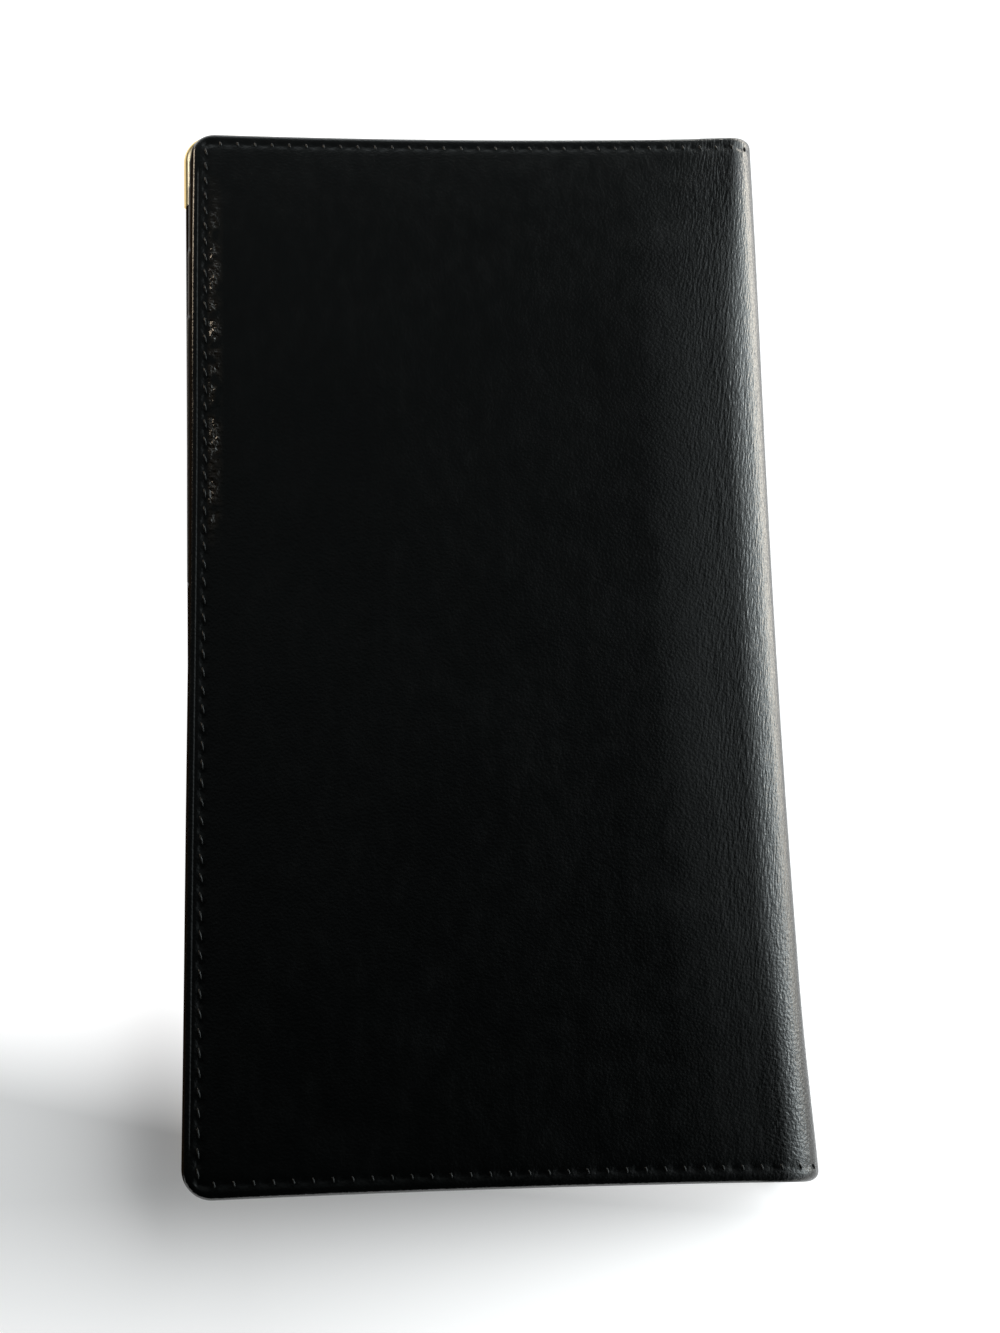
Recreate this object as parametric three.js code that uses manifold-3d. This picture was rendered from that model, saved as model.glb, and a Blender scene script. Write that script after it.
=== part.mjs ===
// A tall card organizer in black calf that opens like a book: two stiffened leaves joined by a
// soft fold, six stepped card slots and a long slip pocket inside each leaf, gilt corners behind.
// Closed, it lies on its back leaf: +X towards the fold, +Y towards the head, +Z up.
import * as THREE from "three";
import { mergeVertices } from "three/addons/utils/BufferGeometryUtils.js";
import Module from "manifold-3d";

const wasm = await Module();
wasm.setup();

// Outer sizes, in millimetres
const CLOSED_WIDTH = 101.5;
const LEAF_LENGTH = 182;
const FRONT_SETBACK = 1.2;
const FOLD_REACH = 9.5;
const CORNER_RADIUS = 5;
const EDGE_ROUND = 0.6;

// Leather cover with its edges turned in over a board, and the lining in the hem's window
const COVER = 1;
const BOARD = 0.6;
const BOARD_SETBACK = 2;
const HEM = 0.4;
const HEM_WIDTH = 8;
const LINING = 0.2;
const GLUE = 0.05;

// Inner panel with two banks of stepped card slots, closed at the sides and foot by welts
const PANEL = 0.5;
const PANEL_SETBACK = 0.8;
const PANEL_REACH = 3.8;
const PLY = 0.4;
const CARD_GAP = 0.9;
const BANKS = ["tail", "head"];
const SLOTS = 3;
const CARD_HEIGHT = 54;
const CARD_SHOWS = 8;
const CARD_MARGIN = 1.5;
const MOUTH_STEP = 13;
const WELT = 2.4;
const FIT = 0.1;
const LEAF_GAP = 0.4;

// Seam thread in its stitching groove
const STITCH_INSET = 2.4;
const THREAD_WIDTH = 0.6;
const THREAD_DEPTH = 0.35;
const THREAD_SINK = 0.05;

// Gilt corners crimped over the back leaf
const GUARD_LEG = 13;
const GUARD_SWEEP = 0.36;
const GUARD_WALL = 0.3;
const GUARD_PROUD = 0.3;
const GUARD_MARGIN = 1;

// Fold lines, where the cover bends
const FOLD_CUT = 0.3;
const FOLD_TRIM = 0.25;
const FOLD_STEPS = 10;
const CURVE_STEPS = 6;
const OVERRUN = 5;

const boardSpace = BOARD + 2 * GLUE;
const coverBlock = COVER + boardSpace + HEM;
const panelLow = coverBlock + GLUE;
const panelHigh = panelLow + PANEL;
const plyLow = (slot) => panelHigh + slot * CARD_GAP + (slot - 1) * PLY;
const plyHigh = (slot) => plyLow(slot) + PLY;
const leafThickness = plyHigh(SLOTS);
const thickness = 2 * leafThickness + LEAF_GAP;
const foldRise = thickness / 2;
const backFlat = CLOSED_WIDTH - FOLD_REACH;
const frontFlat = backFlat - FRONT_SETBACK;

const leather = new THREE.MeshStandardMaterial({ color: 0x0d0e0e, roughness: 0.42, metalness: 0 });
const innerLeather = new THREE.MeshStandardMaterial({ color: 0x121212, roughness: 0.5, metalness: 0 });
const fabric = new THREE.MeshStandardMaterial({ color: 0x17171a, roughness: 0.8, metalness: 0 });
const card = new THREE.MeshStandardMaterial({ color: 0x8d7c66, roughness: 0.9, metalness: 0 });
const thread = new THREE.MeshStandardMaterial({ color: 0x0b0b0c, roughness: 0.35, metalness: 0 });
const gilt = new THREE.MeshStandardMaterial({ color: 0xd2a64c, roughness: 0.2, metalness: 1 });

// A flat outline given height along Z
function prism(shape, low, high) {
  const settings = { depth: high - low, bevelEnabled: false, curveSegments: CURVE_STEPS };
  return new THREE.ExtrudeGeometry(shape, settings).translate(0, 0, low);
}

// The same with its rims rounded inside the outline
function softPrism(shape, low, high, round) {
  const settings = {
    depth: high - low - 2 * round,
    bevelThickness: round,
    bevelSize: round,
    bevelOffset: -round,
    bevelSegments: 3,
    curveSegments: CURVE_STEPS,
  };
  return new THREE.ExtrudeGeometry(shape, settings).translate(0, 0, low + round);
}

// A section in X and Z carried along Y
function bar(section, low, high) {
  const geometry = prism(new THREE.Shape(section), 0, high - low);
  return geometry.rotateX(Math.PI / 2).translate(0, high, 0);
}

// A section in Y and Z carried along X
function rail(section, low, high) {
  const geometry = prism(new THREE.Shape(section), 0, high - low);
  return geometry.rotateX(Math.PI / 2).rotateZ(Math.PI / 2).translate(low, 0, 0);
}

function block(xLow, xHigh, yLow, yHigh, zLow, zHigh) {
  const geometry = new THREE.BoxGeometry(xHigh - xLow, yHigh - yLow, zHigh - zLow);
  return geometry.translate((xLow + xHigh) / 2, (yLow + yHigh) / 2, (zLow + zHigh) / 2);
}

function solidOf(geometry) {
  const bare = geometry.clone();
  bare.deleteAttribute("normal");
  bare.deleteAttribute("uv");
  const merged = mergeVertices(bare);
  const vertProperties = new Float32Array(merged.attributes.position.array);
  const triVerts = new Uint32Array(merged.index.array);
  return new wasm.Manifold(new wasm.Mesh({ numProp: 3, vertProperties, triVerts }));
}

function geometryOf(solid) {
  const mesh = solid.getMesh();
  const geometry = new THREE.BufferGeometry();
  geometry.setAttribute("position", new THREE.BufferAttribute(mesh.vertProperties, mesh.numProp));
  geometry.setIndex(new THREE.BufferAttribute(mesh.triVerts, 1));
  geometry.computeVertexNormals();
  return geometry;
}

function piece(name, geometry, material) {
  const mesh = new THREE.Mesh(geometry, material);
  mesh.name = name;
  return mesh;
}

// A leaf's outline from above, drawn in by an inset: round at the free edge, open-ended at the fold
function leafOutline(inset, end) {
  const radius = Math.max(CORNER_RADIUS - inset, EDGE_ROUND);
  const low = inset + radius;
  const high = LEAF_LENGTH - inset - radius;
  const shape = new THREE.Shape();
  shape.moveTo(end, inset);
  shape.lineTo(end, LEAF_LENGTH - inset);
  shape.lineTo(low, LEAF_LENGTH - inset);
  shape.absarc(low, high, radius, Math.PI / 2, Math.PI, false);
  shape.lineTo(inset, low);
  shape.absarc(low, low, radius, Math.PI, 1.5 * Math.PI, false);
  shape.closePath();
  return shape;
}

// The fold in section is half an ellipse: angle 0 lies on the back leaf, PI on the front leaf
function foldSlope(angle) {
  return new THREE.Vector2(FOLD_REACH * Math.cos(angle), foldRise * Math.sin(angle));
}

function foldPoint(angle, inset, foldStart) {
  const along = foldSlope(angle).normalize();
  const x = foldStart + FOLD_REACH * Math.sin(angle) - inset * along.y;
  const z = foldRise * (1 - Math.cos(angle)) + inset * along.x;
  return new THREE.Vector2(x, z);
}

function foldLine(from, to, inset, foldStart) {
  const points = [];
  for (let step = 0; step <= FOLD_STEPS; step += 1) {
    points.push(foldPoint(from + ((to - from) * step) / FOLD_STEPS, inset, foldStart));
  }
  return points;
}

// The leather keeps its length as it opens, so each half of the fold turns about a line just
// outside it, placed so that the opened cover lies flat
const HALF_STEPS = 180;
let halfFoldLength = 0;
let foldCutAngle = 0;
for (let step = 0; step < HALF_STEPS; step += 1) {
  const angle = ((step + 0.5) * Math.PI) / 2 / HALF_STEPS;
  halfFoldLength += (foldSlope(angle).length() * Math.PI) / 2 / HALF_STEPS;
}
const hingeHeight = (FOLD_REACH + foldRise - halfFoldLength) / 2;
const hingePoint = new THREE.Vector2(backFlat + FOLD_REACH - hingeHeight, hingeHeight);
const hingeDistance = (angle) => foldPoint(angle, 0, backFlat).distanceTo(hingePoint);
for (let step = 0; step <= HALF_STEPS; step += 1) {
  const angle = (step * Math.PI) / 2 / HALF_STEPS;
  foldCutAngle = hingeDistance(angle) < hingeDistance(foldCutAngle) ? angle : foldCutAngle;
}
const halfCutAngle = FOLD_CUT / 2 / foldSlope(foldCutAngle).length();
const leafFoldEnd = foldCutAngle - halfCutAngle;
const spineFoldStart = foldCutAngle + halfCutAngle;

// The corner of a leaf that a gilt guard covers, with a hollow inner edge
function guardRegion(grow, atHead) {
  const leg = GUARD_LEG + grow;
  const hollow = leg * GUARD_SWEEP;
  const out = -GUARD_PROUD - OVERRUN;
  const place = (x, y) => [x, atHead ? LEAF_LENGTH - y : y];
  const shape = new THREE.Shape();
  shape.moveTo(...place(out, out));
  shape.lineTo(...place(leg, out));
  shape.lineTo(...place(leg, 0));
  shape.quadraticCurveTo(...place(hollow, hollow), ...place(0, leg));
  shape.lineTo(...place(out, leg));
  shape.closePath();
  return shape;
}

function guardCutter(grow, atHead) {
  return solidOf(prism(guardRegion(grow, atHead), -OVERRUN, coverBlock + OVERRUN));
}

// The stitched runs along head, free edge and tail, as low and high corners from above
function threadRuns(flat, start) {
  const half = THREAD_WIDTH / 2;
  const far = LEAF_LENGTH - STITCH_INSET;
  return [
    { run: "head", x: [start, flat], y: [far - half, far + half] },
    { run: "edge", x: [STITCH_INSET - half, STITCH_INSET + half], y: [start, LEAF_LENGTH - start] },
    { run: "tail", x: [start, flat], y: [STITCH_INSET - half, STITCH_INSET + half] },
  ];
}

// Cover leather: outer face, turned edge and hem round the board, and its half of the fold
function coverSolid(flat, runs, guarded) {
  const beyond = flat + OVERRUN;
  const hemLow = COVER + boardSpace;
  const slab = solidOf(softPrism(leafOutline(0, beyond), 0, coverBlock, EDGE_ROUND));
  let body = slab.intersect(solidOf(block(-OVERRUN, flat, -OVERRUN, LEAF_LENGTH + OVERRUN, -OVERRUN, OVERRUN)));
  let hollow = solidOf(prism(leafOutline(COVER, beyond), COVER, hemLow));
  hollow = hollow.add(solidOf(prism(leafOutline(HEM_WIDTH, beyond), COVER + BOARD / 2, OVERRUN)));
  for (const atHead of guarded) {
    hollow = hollow.subtract(guardCutter(GUARD_MARGIN, atHead));
  }
  body = body.subtract(hollow);
  const bend = [
    new THREE.Vector2(flat - BOARD_SETBACK, COVER / 3),
    ...foldLine(0, leafFoldEnd, 0, flat),
    ...foldLine(0, leafFoldEnd, COVER, flat).reverse(),
    new THREE.Vector2(flat - BOARD_SETBACK, (2 * COVER) / 3),
  ];
  body = body.add(solidOf(bar(bend, FOLD_TRIM, LEAF_LENGTH - FOLD_TRIM)));
  for (const { x, y } of runs) {
    const depth = THREAD_SINK + THREAD_DEPTH + GLUE;
    const open = [x[0] - GLUE, x[1] + GLUE, y[0] - GLUE, y[1] + GLUE];
    body = body.subtract(solidOf(block(...open, -OVERRUN, depth)));
  }
  for (const atHead of guarded) {
    const seat = GUARD_WALL + FIT;
    const tongue = prism(leafOutline(seat - GUARD_PROUD, beyond), seat, coverBlock - seat);
    body = body.subtract(guardCutter(FIT, atHead).subtract(solidOf(tongue)));
  }
  return body;
}

function boardSolid(flat, guarded) {
  const outline = leafOutline(COVER + GLUE, flat - BOARD_SETBACK);
  let body = solidOf(prism(outline, COVER + GLUE, COVER + GLUE + BOARD));
  for (const atHead of guarded) {
    body = body.subtract(guardCutter(GUARD_MARGIN + FIT, atHead));
  }
  return body;
}

// Lining: across the board, down off its end and round the leaf's half of the fold
function liningSolid(flat) {
  const low = COVER + boardSpace + GLUE;
  const bedded = COVER + GLUE;
  const free = HEM_WIDTH + EDGE_ROUND;
  const stepEnd = flat - BOARD_SETBACK / 4;
  const stepStart = flat - BOARD_SETBACK + 2 * LINING;
  const section = [
    new THREE.Vector2(free, low),
    new THREE.Vector2(stepStart, low),
    new THREE.Vector2(stepEnd, bedded),
    ...foldLine(0, leafFoldEnd, bedded, flat),
    ...foldLine(0, leafFoldEnd, bedded + LINING, flat).reverse(),
    new THREE.Vector2(stepEnd, bedded + LINING),
    new THREE.Vector2(stepStart + LINING, low + LINING),
    new THREE.Vector2(free, low + LINING),
  ];
  return bar(section, HEM_WIDTH + GLUE, LEAF_LENGTH - HEM_WIDTH - GLUE);
}

// A gilt guard wraps the cover's corner, flush with both of its faces
function guardSolid(atHead) {
  const shell = solidOf(softPrism(leafOutline(-GUARD_PROUD, GUARD_LEG + OVERRUN), 0, coverBlock, EDGE_ROUND));
  const core = leafOutline(GUARD_WALL - GUARD_PROUD, GUARD_LEG + 2 * OVERRUN);
  const hollow = solidOf(prism(core, GUARD_WALL, coverBlock - GUARD_WALL));
  return shell.intersect(guardCutter(0, atHead)).subtract(hollow);
}

// Where a bank of slots starts, measured from the tail, and where each of its mouths lies: the
// tail bank stands on the tail seam, and the topmost card of the head bank ends below the head
const bankHeight = WELT + CARD_HEIGHT + (SLOTS - 1) * MOUTH_STEP + CARD_MARGIN;
const headBankFoot = LEAF_LENGTH - PANEL_SETBACK - bankHeight;
const bankFoot = (bank) => (bank === 0 ? PANEL_SETBACK : headBankFoot);
const lowestMouth = WELT + CARD_HEIGHT - CARD_SHOWS;
const mouth = (bank, slot) => bankFoot(bank) + lowestMouth + (SLOTS - slot) * MOUTH_STEP;

// Side welts step down with the plies of their bank, mouth by mouth
function sideWeltSection(bank) {
  const low = panelHigh + GLUE;
  const points = [new THREE.Vector2(bankFoot(bank), low)];
  let start = bankFoot(bank);
  for (let slot = SLOTS; slot >= 1; slot -= 1) {
    points.push(new THREE.Vector2(start, plyHigh(slot)));
    start = mouth(bank, slot);
    points.push(new THREE.Vector2(start, plyHigh(slot)));
  }
  points.push(new THREE.Vector2(start, low));
  return points;
}

function leaf(side, flat, guarded) {
  const group = new THREE.Group();
  const runs = threadRuns(flat, guarded.length ? GUARD_LEG + GUARD_MARGIN : STITCH_INSET + THREAD_WIDTH);
  const gutter = flat + PANEL_REACH;
  const inner = [PANEL_SETBACK + WELT + FIT, gutter - WELT - FIT];
  const panelOutline = leafOutline(PANEL_SETBACK, gutter);

  group.add(piece(`${side}_cover`, geometryOf(coverSolid(flat, runs, guarded)), leather));
  group.add(piece(`${side}_board`, geometryOf(boardSolid(flat, guarded)), card));
  group.add(piece(`${side}_lining`, liningSolid(flat), fabric));
  group.add(piece(`${side}_inner_panel`, prism(panelOutline, panelLow, panelHigh), innerLeather));

  for (const { run, x, y } of runs) {
    const strand = block(...x, ...y, THREAD_SINK, THREAD_SINK + THREAD_DEPTH);
    group.add(piece(`${side}_${run}_thread`, strand, thread));
  }

  const within = solidOf(prism(panelOutline, panelLow, leafThickness));
  BANKS.forEach((name, bank) => {
    const foot = bankFoot(bank);
    const outerWelt = solidOf(rail(sideWeltSection(bank), PANEL_SETBACK, PANEL_SETBACK + WELT));
    const gutterWelt = rail(sideWeltSection(bank), gutter - WELT, gutter);
    const footWelt = block(...inner, foot, foot + WELT, panelHigh + GLUE, leafThickness);
    group.add(piece(`${side}_${name}_outer_welt`, geometryOf(outerWelt.intersect(within)), innerLeather));
    group.add(piece(`${side}_${name}_gutter_welt`, gutterWelt, innerLeather));
    group.add(piece(`${side}_${name}_foot_welt`, footWelt, innerLeather));
    for (let slot = 1; slot <= SLOTS; slot += 1) {
      const ply = block(...inner, foot + WELT + FIT, mouth(bank, slot), plyLow(slot), plyHigh(slot));
      group.add(piece(`${side}_${name}_pocket_${slot}`, ply, innerLeather));
    }
  });
  return group;
}

// The middle of the fold, between the two fold lines
function spine() {
  const group = new THREE.Group();
  const from = spineFoldStart;
  const to = Math.PI - spineFoldStart;
  const band = (outer, innerInset) => [
    ...foldLine(from, to, outer, backFlat),
    ...foldLine(from, to, innerInset, backFlat).reverse(),
  ];
  const cover = bar(band(0, COVER), FOLD_TRIM, LEAF_LENGTH - FOLD_TRIM);
  const bedded = COVER + GLUE;
  const lining = bar(band(bedded, bedded + LINING), HEM_WIDTH + GLUE, LEAF_LENGTH - HEM_WIDTH - GLUE);
  group.add(piece("spine_cover", cover, leather));
  group.add(piece("spine_lining", lining, fabric));
  return group;
}

const organizer = new THREE.Group();
organizer.position.set((GUARD_PROUD - CLOSED_WIDTH) / 2, -LEAF_LENGTH / 2, 0);

const backLeaf = leaf("back", backFlat, [false, true]);
backLeaf.add(piece("back_tail_corner", geometryOf(guardSolid(false)), gilt));
backLeaf.add(piece("back_head_corner", geometryOf(guardSolid(true)), gilt));
organizer.add(backLeaf);

organizer.add(spine());

// The front leaf is the same make, turned face down over the back leaf
const frontLeaf = leaf("front", frontFlat, []);
frontLeaf.position.set(FRONT_SETBACK, 0, thickness);
frontLeaf.scale.z = -1;
organizer.add(frontLeaf);

export default organizer;
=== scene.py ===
"""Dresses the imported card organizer: cover leather, seams, card slots, gilt corners and a studio."""
import math

import bpy
import numpy as np
from bpy.props import FloatProperty, FloatVectorProperty, PointerProperty
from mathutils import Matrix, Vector, noise


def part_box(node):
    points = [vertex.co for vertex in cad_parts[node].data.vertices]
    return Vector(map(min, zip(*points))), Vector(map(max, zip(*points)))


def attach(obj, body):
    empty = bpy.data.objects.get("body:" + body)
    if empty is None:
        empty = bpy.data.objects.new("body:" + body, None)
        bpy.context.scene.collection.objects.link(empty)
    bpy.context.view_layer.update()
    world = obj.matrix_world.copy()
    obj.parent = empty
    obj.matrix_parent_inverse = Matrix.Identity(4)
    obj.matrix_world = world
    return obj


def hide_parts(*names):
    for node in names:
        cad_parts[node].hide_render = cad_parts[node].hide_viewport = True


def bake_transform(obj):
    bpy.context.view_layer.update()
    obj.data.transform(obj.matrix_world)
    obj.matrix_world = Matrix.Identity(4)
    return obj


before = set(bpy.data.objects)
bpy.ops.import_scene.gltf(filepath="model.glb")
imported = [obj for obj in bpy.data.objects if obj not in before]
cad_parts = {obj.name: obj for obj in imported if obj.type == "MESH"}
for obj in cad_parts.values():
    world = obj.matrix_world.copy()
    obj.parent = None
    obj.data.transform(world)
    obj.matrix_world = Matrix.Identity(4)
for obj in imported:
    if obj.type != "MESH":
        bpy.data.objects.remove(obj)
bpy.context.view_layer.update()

bl_info = {
    "name": "Card Organizer",
    "version": (1, 0, 0),
    "blender": (4, 5, 0),
    "location": "View3D > Sidebar > Organizer",
    "description": "Dresses a packed card organizer in leather, thread and gilt metal",
    "category": "Object",
}

MM = 0.001
SIDES = ("back", "front")
BANKS = ("tail", "head")
SLOTS = (1, 2, 3)
LEAF_BODY = {side: f"{side}_leaf" for side in SIDES}
FLAT_MAP = "leather_flat"

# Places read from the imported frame, in metres
BOARD_SETBACK = 2 * MM
EDGE = {side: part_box(f"{side}_cover")[0].x for side in SIDES}
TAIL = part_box("back_cover")[0].y
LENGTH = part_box("back_cover")[1].y - TAIL
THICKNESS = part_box("front_cover")[1].z
FOLD_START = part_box("back_board")[1].x + BOARD_SETBACK
FOLD_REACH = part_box("spine_cover")[1].x - FOLD_START
FOLD_RISE = THICKNESS / 2
LEAF_EDGE_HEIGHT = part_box("back_inner_panel")[0].z - 0.05 * MM
PANEL_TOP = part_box("back_inner_panel")[1].z
STACK_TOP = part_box("back_tail_pocket_3")[1].z

# Finishes that stay the same for every organizer
GRAIN_DEPTH = 0.05 * MM
DYED_EDGE = (0.012, 0.008, 0.005, 1)
RUBBED_CALF = (0.02, 0.016, 0.012, 1)
GILT_TINT = (0.2, 0.1, 0.035, 1)
WHITE = (1, 1, 1, 1)
# Colour of the floor's warm painted glow beside the fold
WARM_WHITE = (1, 0.93, 0.8, 1)
SKY_COLOUR = (0.89, 0.98, 1, 1)

# Sockets of a colour mix node, which share their names with sockets for other kinds of value
FIRST_COLOUR, SECOND_COLOUR, MIXED_COLOUR = 6, 7, 2

# The fold's section is half an ellipse; these give the angle at a length along its outer skin
FOLD_ANGLES = np.linspace(0, math.pi / 2, 721)
FOLD_STEPS = np.hypot(FOLD_REACH * np.cos(FOLD_ANGLES), FOLD_RISE * np.sin(FOLD_ANGLES))
FOLD_RUN = np.concatenate([[0], np.cumsum((FOLD_STEPS[1:] + FOLD_STEPS[:-1]) / 2 * FOLD_ANGLES[1])])
HALF_FOLD = FOLD_RUN[-1]


def a_length(name, description, millimetres, low=0.0):
    """A length that a user can change, given in millimetres."""
    return FloatProperty(
        name=name, description=description, default=millimetres * MM, min=low * MM,
        unit="LENGTH", precision=5)


def an_angle(name, description, degrees):
    return FloatProperty(name=name, description=description, default=math.radians(degrees), subtype="ANGLE")


def an_amount(name, description, value, low=0.0, subtype="NONE"):
    return FloatProperty(name=name, description=description, default=value, min=low, subtype=subtype)


def a_colour(name, description, value):
    return FloatVectorProperty(
        name=name, description=description, default=value + (1,), size=4, subtype="COLOR", min=0, max=1)


class OrganizerSizes(bpy.types.PropertyGroup):
    """Sizes of the leather work that a user would change."""

    corner_radius: a_length("Corner Radius", "Rounding of the leaves' free corners", 5, low=1)
    front_radius: a_length("Front Radius", "Rounding of the front leaf's corner at the head", 4.2, low=1)
    rim_width: a_length("Rim Width", "How far in the turned edge starts to roll over", 1.15, low=0.2)
    hem_width: a_length("Hem Width", "Leather turned in at head and tail of the fold", 8, low=1)
    stitch_inset: a_length("Stitch Inset", "Distance of the seam from the leaf's edge", 2.6, low=1)
    end_inset: a_length("End Inset", "Distance of the seam from the head and the tail", 2.35, low=1)
    stitch_pitch: a_length("Stitch Pitch", "Distance from one needle hole to the next", 3.05, low=1)
    stitch_length: a_length("Stitch Length", "Visible length of one stitch", 1.8, low=0.5)
    stitch_slant: an_angle("Stitch Slant", "Turn of each stitch out of the seam's line", 12)
    end_stitch_length: a_length("End Stitch Length", "Length of a stitch at head and tail", 1.15, low=0.5)
    end_stitch_slant: an_angle("End Stitch Slant", "Turn of each stitch at the head and the tail", -74)
    crease_inset: a_length("Crease Inset", "Distance of the tooled line from the free edge", 1.4)
    crease_depth: a_length("Crease Depth", "Depth of the tooled line along the free edge", 0.1)
    thread_radius: a_length("Thread Radius", "Half the thickness of the sewing thread", 0.18, low=0.05)
    seam_depth: a_length("Seam Depth", "How deep the seam pulls the leather in", 0.06)
    needle_depth: a_length("Needle Depth", "Extra depth at each needle hole", 0.14)
    swell: a_length("Swell", "Crown of the front leaf over its card slots", 0.35)
    waist: a_length("Waist", "How far the worn fold draws in at half its length", 1.3)
    droop: a_length("Droop", "How far the face slopes down before the fold at half its length", 0.8)
    closing: a_length("Closing", "How far the leaves have come together at the head", 5)
    slip: a_length("Slip", "How far the leaves' free edges have slipped past each other", 1.6)
    creep: a_length("Creep", "How far the back leaf's free edge has moved towards the head", 2.8)
    edge_bow: a_length("Edge Bow", "How far the worn edges draw in at half their length", 0.45)
    head_bow: a_length("Head Bow", "How far the worn head draws in at half its width", 0.85)
    wrinkle_depth: a_length("Wrinkle Depth", "Height of the fine creases along the fold", 0.035)
    pucker_depth: a_length("Pucker Depth", "Height of the worn puckers beside the free edge's seam", 0.22)
    corner_leg: a_length("Corner Leg", "Length of a gilt corner along the leaf's edge", 13.6, low=4)


class OrganizerFinish(bpy.types.PropertyGroup):
    """Colours and gloss of the organizer's materials."""

    calf_colour: a_colour("Calf", "Smooth black calf of the cover", (0.0022, 0.0026, 0.0026))
    calf_roughness: an_amount("Calf Roughness", "Mean roughness of the cover", 0.22)
    slot_colour: a_colour("Slot Leather", "Thinner leather of the card slots", (0.009, 0.009, 0.0095))
    lining_colour: a_colour("Lining", "Twill cloth inside the fold", (0.012, 0.012, 0.014))
    board_colour: a_colour("Board", "Bonded leather board inside the leaves", (0.26, 0.19, 0.12))
    thread_colour: a_colour("Thread", "Waxed sewing thread", (0.01, 0.01, 0.0095))
    # Gilt darkened far below real gold as painted shade, standing in for the dark surroundings the corners
    # reflect
    gilt_colour: a_colour("Gilt", "Gilt metal of the corners", (0.11, 0.043, 0.009))


class OrganizerStudio(bpy.types.PropertyGroup):
    """Camera, floor and lights."""

    camera_place: FloatVectorProperty(
        name="Camera", description="Where the camera stands", subtype="XYZ", size=3,
        default=(-22.19 * MM, -83.5 * MM, 340.64 * MM))
    camera_turn: FloatVectorProperty(
        name="Camera Turn", description="How the camera is turned", subtype="EULER", size=3,
        default=(math.radians(13.19), math.radians(-3.873), math.radians(-1.661)))
    camera_lens: an_amount("Lens", "Focal length on a 36 mm long side", 55.36, low=10)
    floor_colour: a_colour("Floor", "Pale floor", (0.86, 0.86, 0.86))
    # The floor's own glow is painted light, and its weak parts paint the shadow at the lower left
    floor_glow: an_amount("Floor Glow", "Rise of the floor's own light to the upper right, per metre", 37)
    floor_side: an_amount("Floor Side", "Rise of the light beside the fold towards the head, per metre", 100)
    floor_power: an_amount("Floor Light", "Light on the floor alone, for the shadow", 115, subtype="POWER")
    warm_power: an_amount("Warm", "Warm low light at the upper left", 1.5, subtype="POWER")
    gilt_power: an_amount("Gilt Light", "Light on the gilt corners alone", 0.6, subtype="POWER")
    side_light: an_amount("Side Light", "Brightness of the surroundings at the fold's side", 2.35)
    low_light: an_amount("Low Light", "Brightness of the low window at the fold's side", 16.8)
    head_light: an_amount("Head Light", "Brightness of the surroundings past the head", 0.17)
    head_low_light: an_amount("Head Low Light", "Brightness low past the head", 0.9)
    dim_light: an_amount("Dim Light", "Brightness of the surroundings elsewhere", 0.004)


def smooth(low, high, value):
    """Rises softly from 0 at low to 1 at high."""
    share = np.clip((value - low) / (high - low), 0, 1)
    return share * share * (3 - 2 * share)


def cloud(u, v, size_u, size_v, layer):
    """Soft random values from about -1 to 1 in lumps of the given size."""
    return np.array([noise.noise((a / size_u, b / size_v, layer)) for a, b in zip(u, v)])


def arch(value):
    """1 at the middle of a run from 0 to 1, and 0 at its ends."""
    return 1 - (2 * value - 1) ** 2


def between(value, rise_from, rise_to, fall_from, fall_to):
    """Rises softly from 0 to 1, and falls back to 0 farther on."""
    return smooth(rise_from, rise_to, value) * (1 - smooth(fall_from, fall_to, value))


def soft_line(off, width):
    """1 at the middle of a line, fading over its width."""
    return np.exp(-((off / width) ** 2))


def flat_width(side):
    return FOLD_START - EDGE[side]


def closing(v):
    """How far the soft leaves have come together at v from the tail, where no slots hold them apart."""
    start = 0.73 * LENGTH
    return bpy.context.scene.organizer_sizes.closing * np.clip((v - start) / (LENGTH - start), 0, 1) ** 2.2


def section(side, u, v):
    """X and Z of the outer skin: the fold is round at half its length and tight at its ends."""
    flat = flat_width(side)
    past = np.maximum(u - flat, 0)
    rise = (THICKNESS - closing(v)) / 2
    angle = np.interp(past, FOLD_RUN, FOLD_ANGLES)
    lead = FOLD_REACH - rise
    run = np.clip(past / HALF_FOLD, 0, 1) * (lead + rise * math.pi / 2)
    turn = np.clip((run - lead) / rise, 0, math.pi / 2)
    tight = smooth(0.5, 0.95, np.abs(2 * v / LENGTH - 1))
    round_x = FOLD_REACH * np.sin(angle)
    tight_x = np.minimum(run, lead) + rise * np.sin(turn)
    x = EDGE[side] + np.minimum(u, flat) + round_x + tight * (tight_x - round_x)
    z = rise * (1 - np.cos(angle) - tight * (np.cos(turn) - np.cos(angle)))
    return x, z, angle


def skew(side, u, v):
    """How far a soft leaf has shifted at its free edge, across and towards the head."""
    sizes = bpy.context.scene.organizer_sizes
    along = np.clip(v / LENGTH, 0, 1)
    free = sizes.slip * (1 - smooth(0, 40 * MM, u))
    if side == "front":
        return 0.24 * free * smooth(0.25, 0.75, along), 0
    return free * ((1 - along) ** 2 - 0.02), sizes.creep * (1 - smooth(0, flat_width("back"), u))


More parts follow.
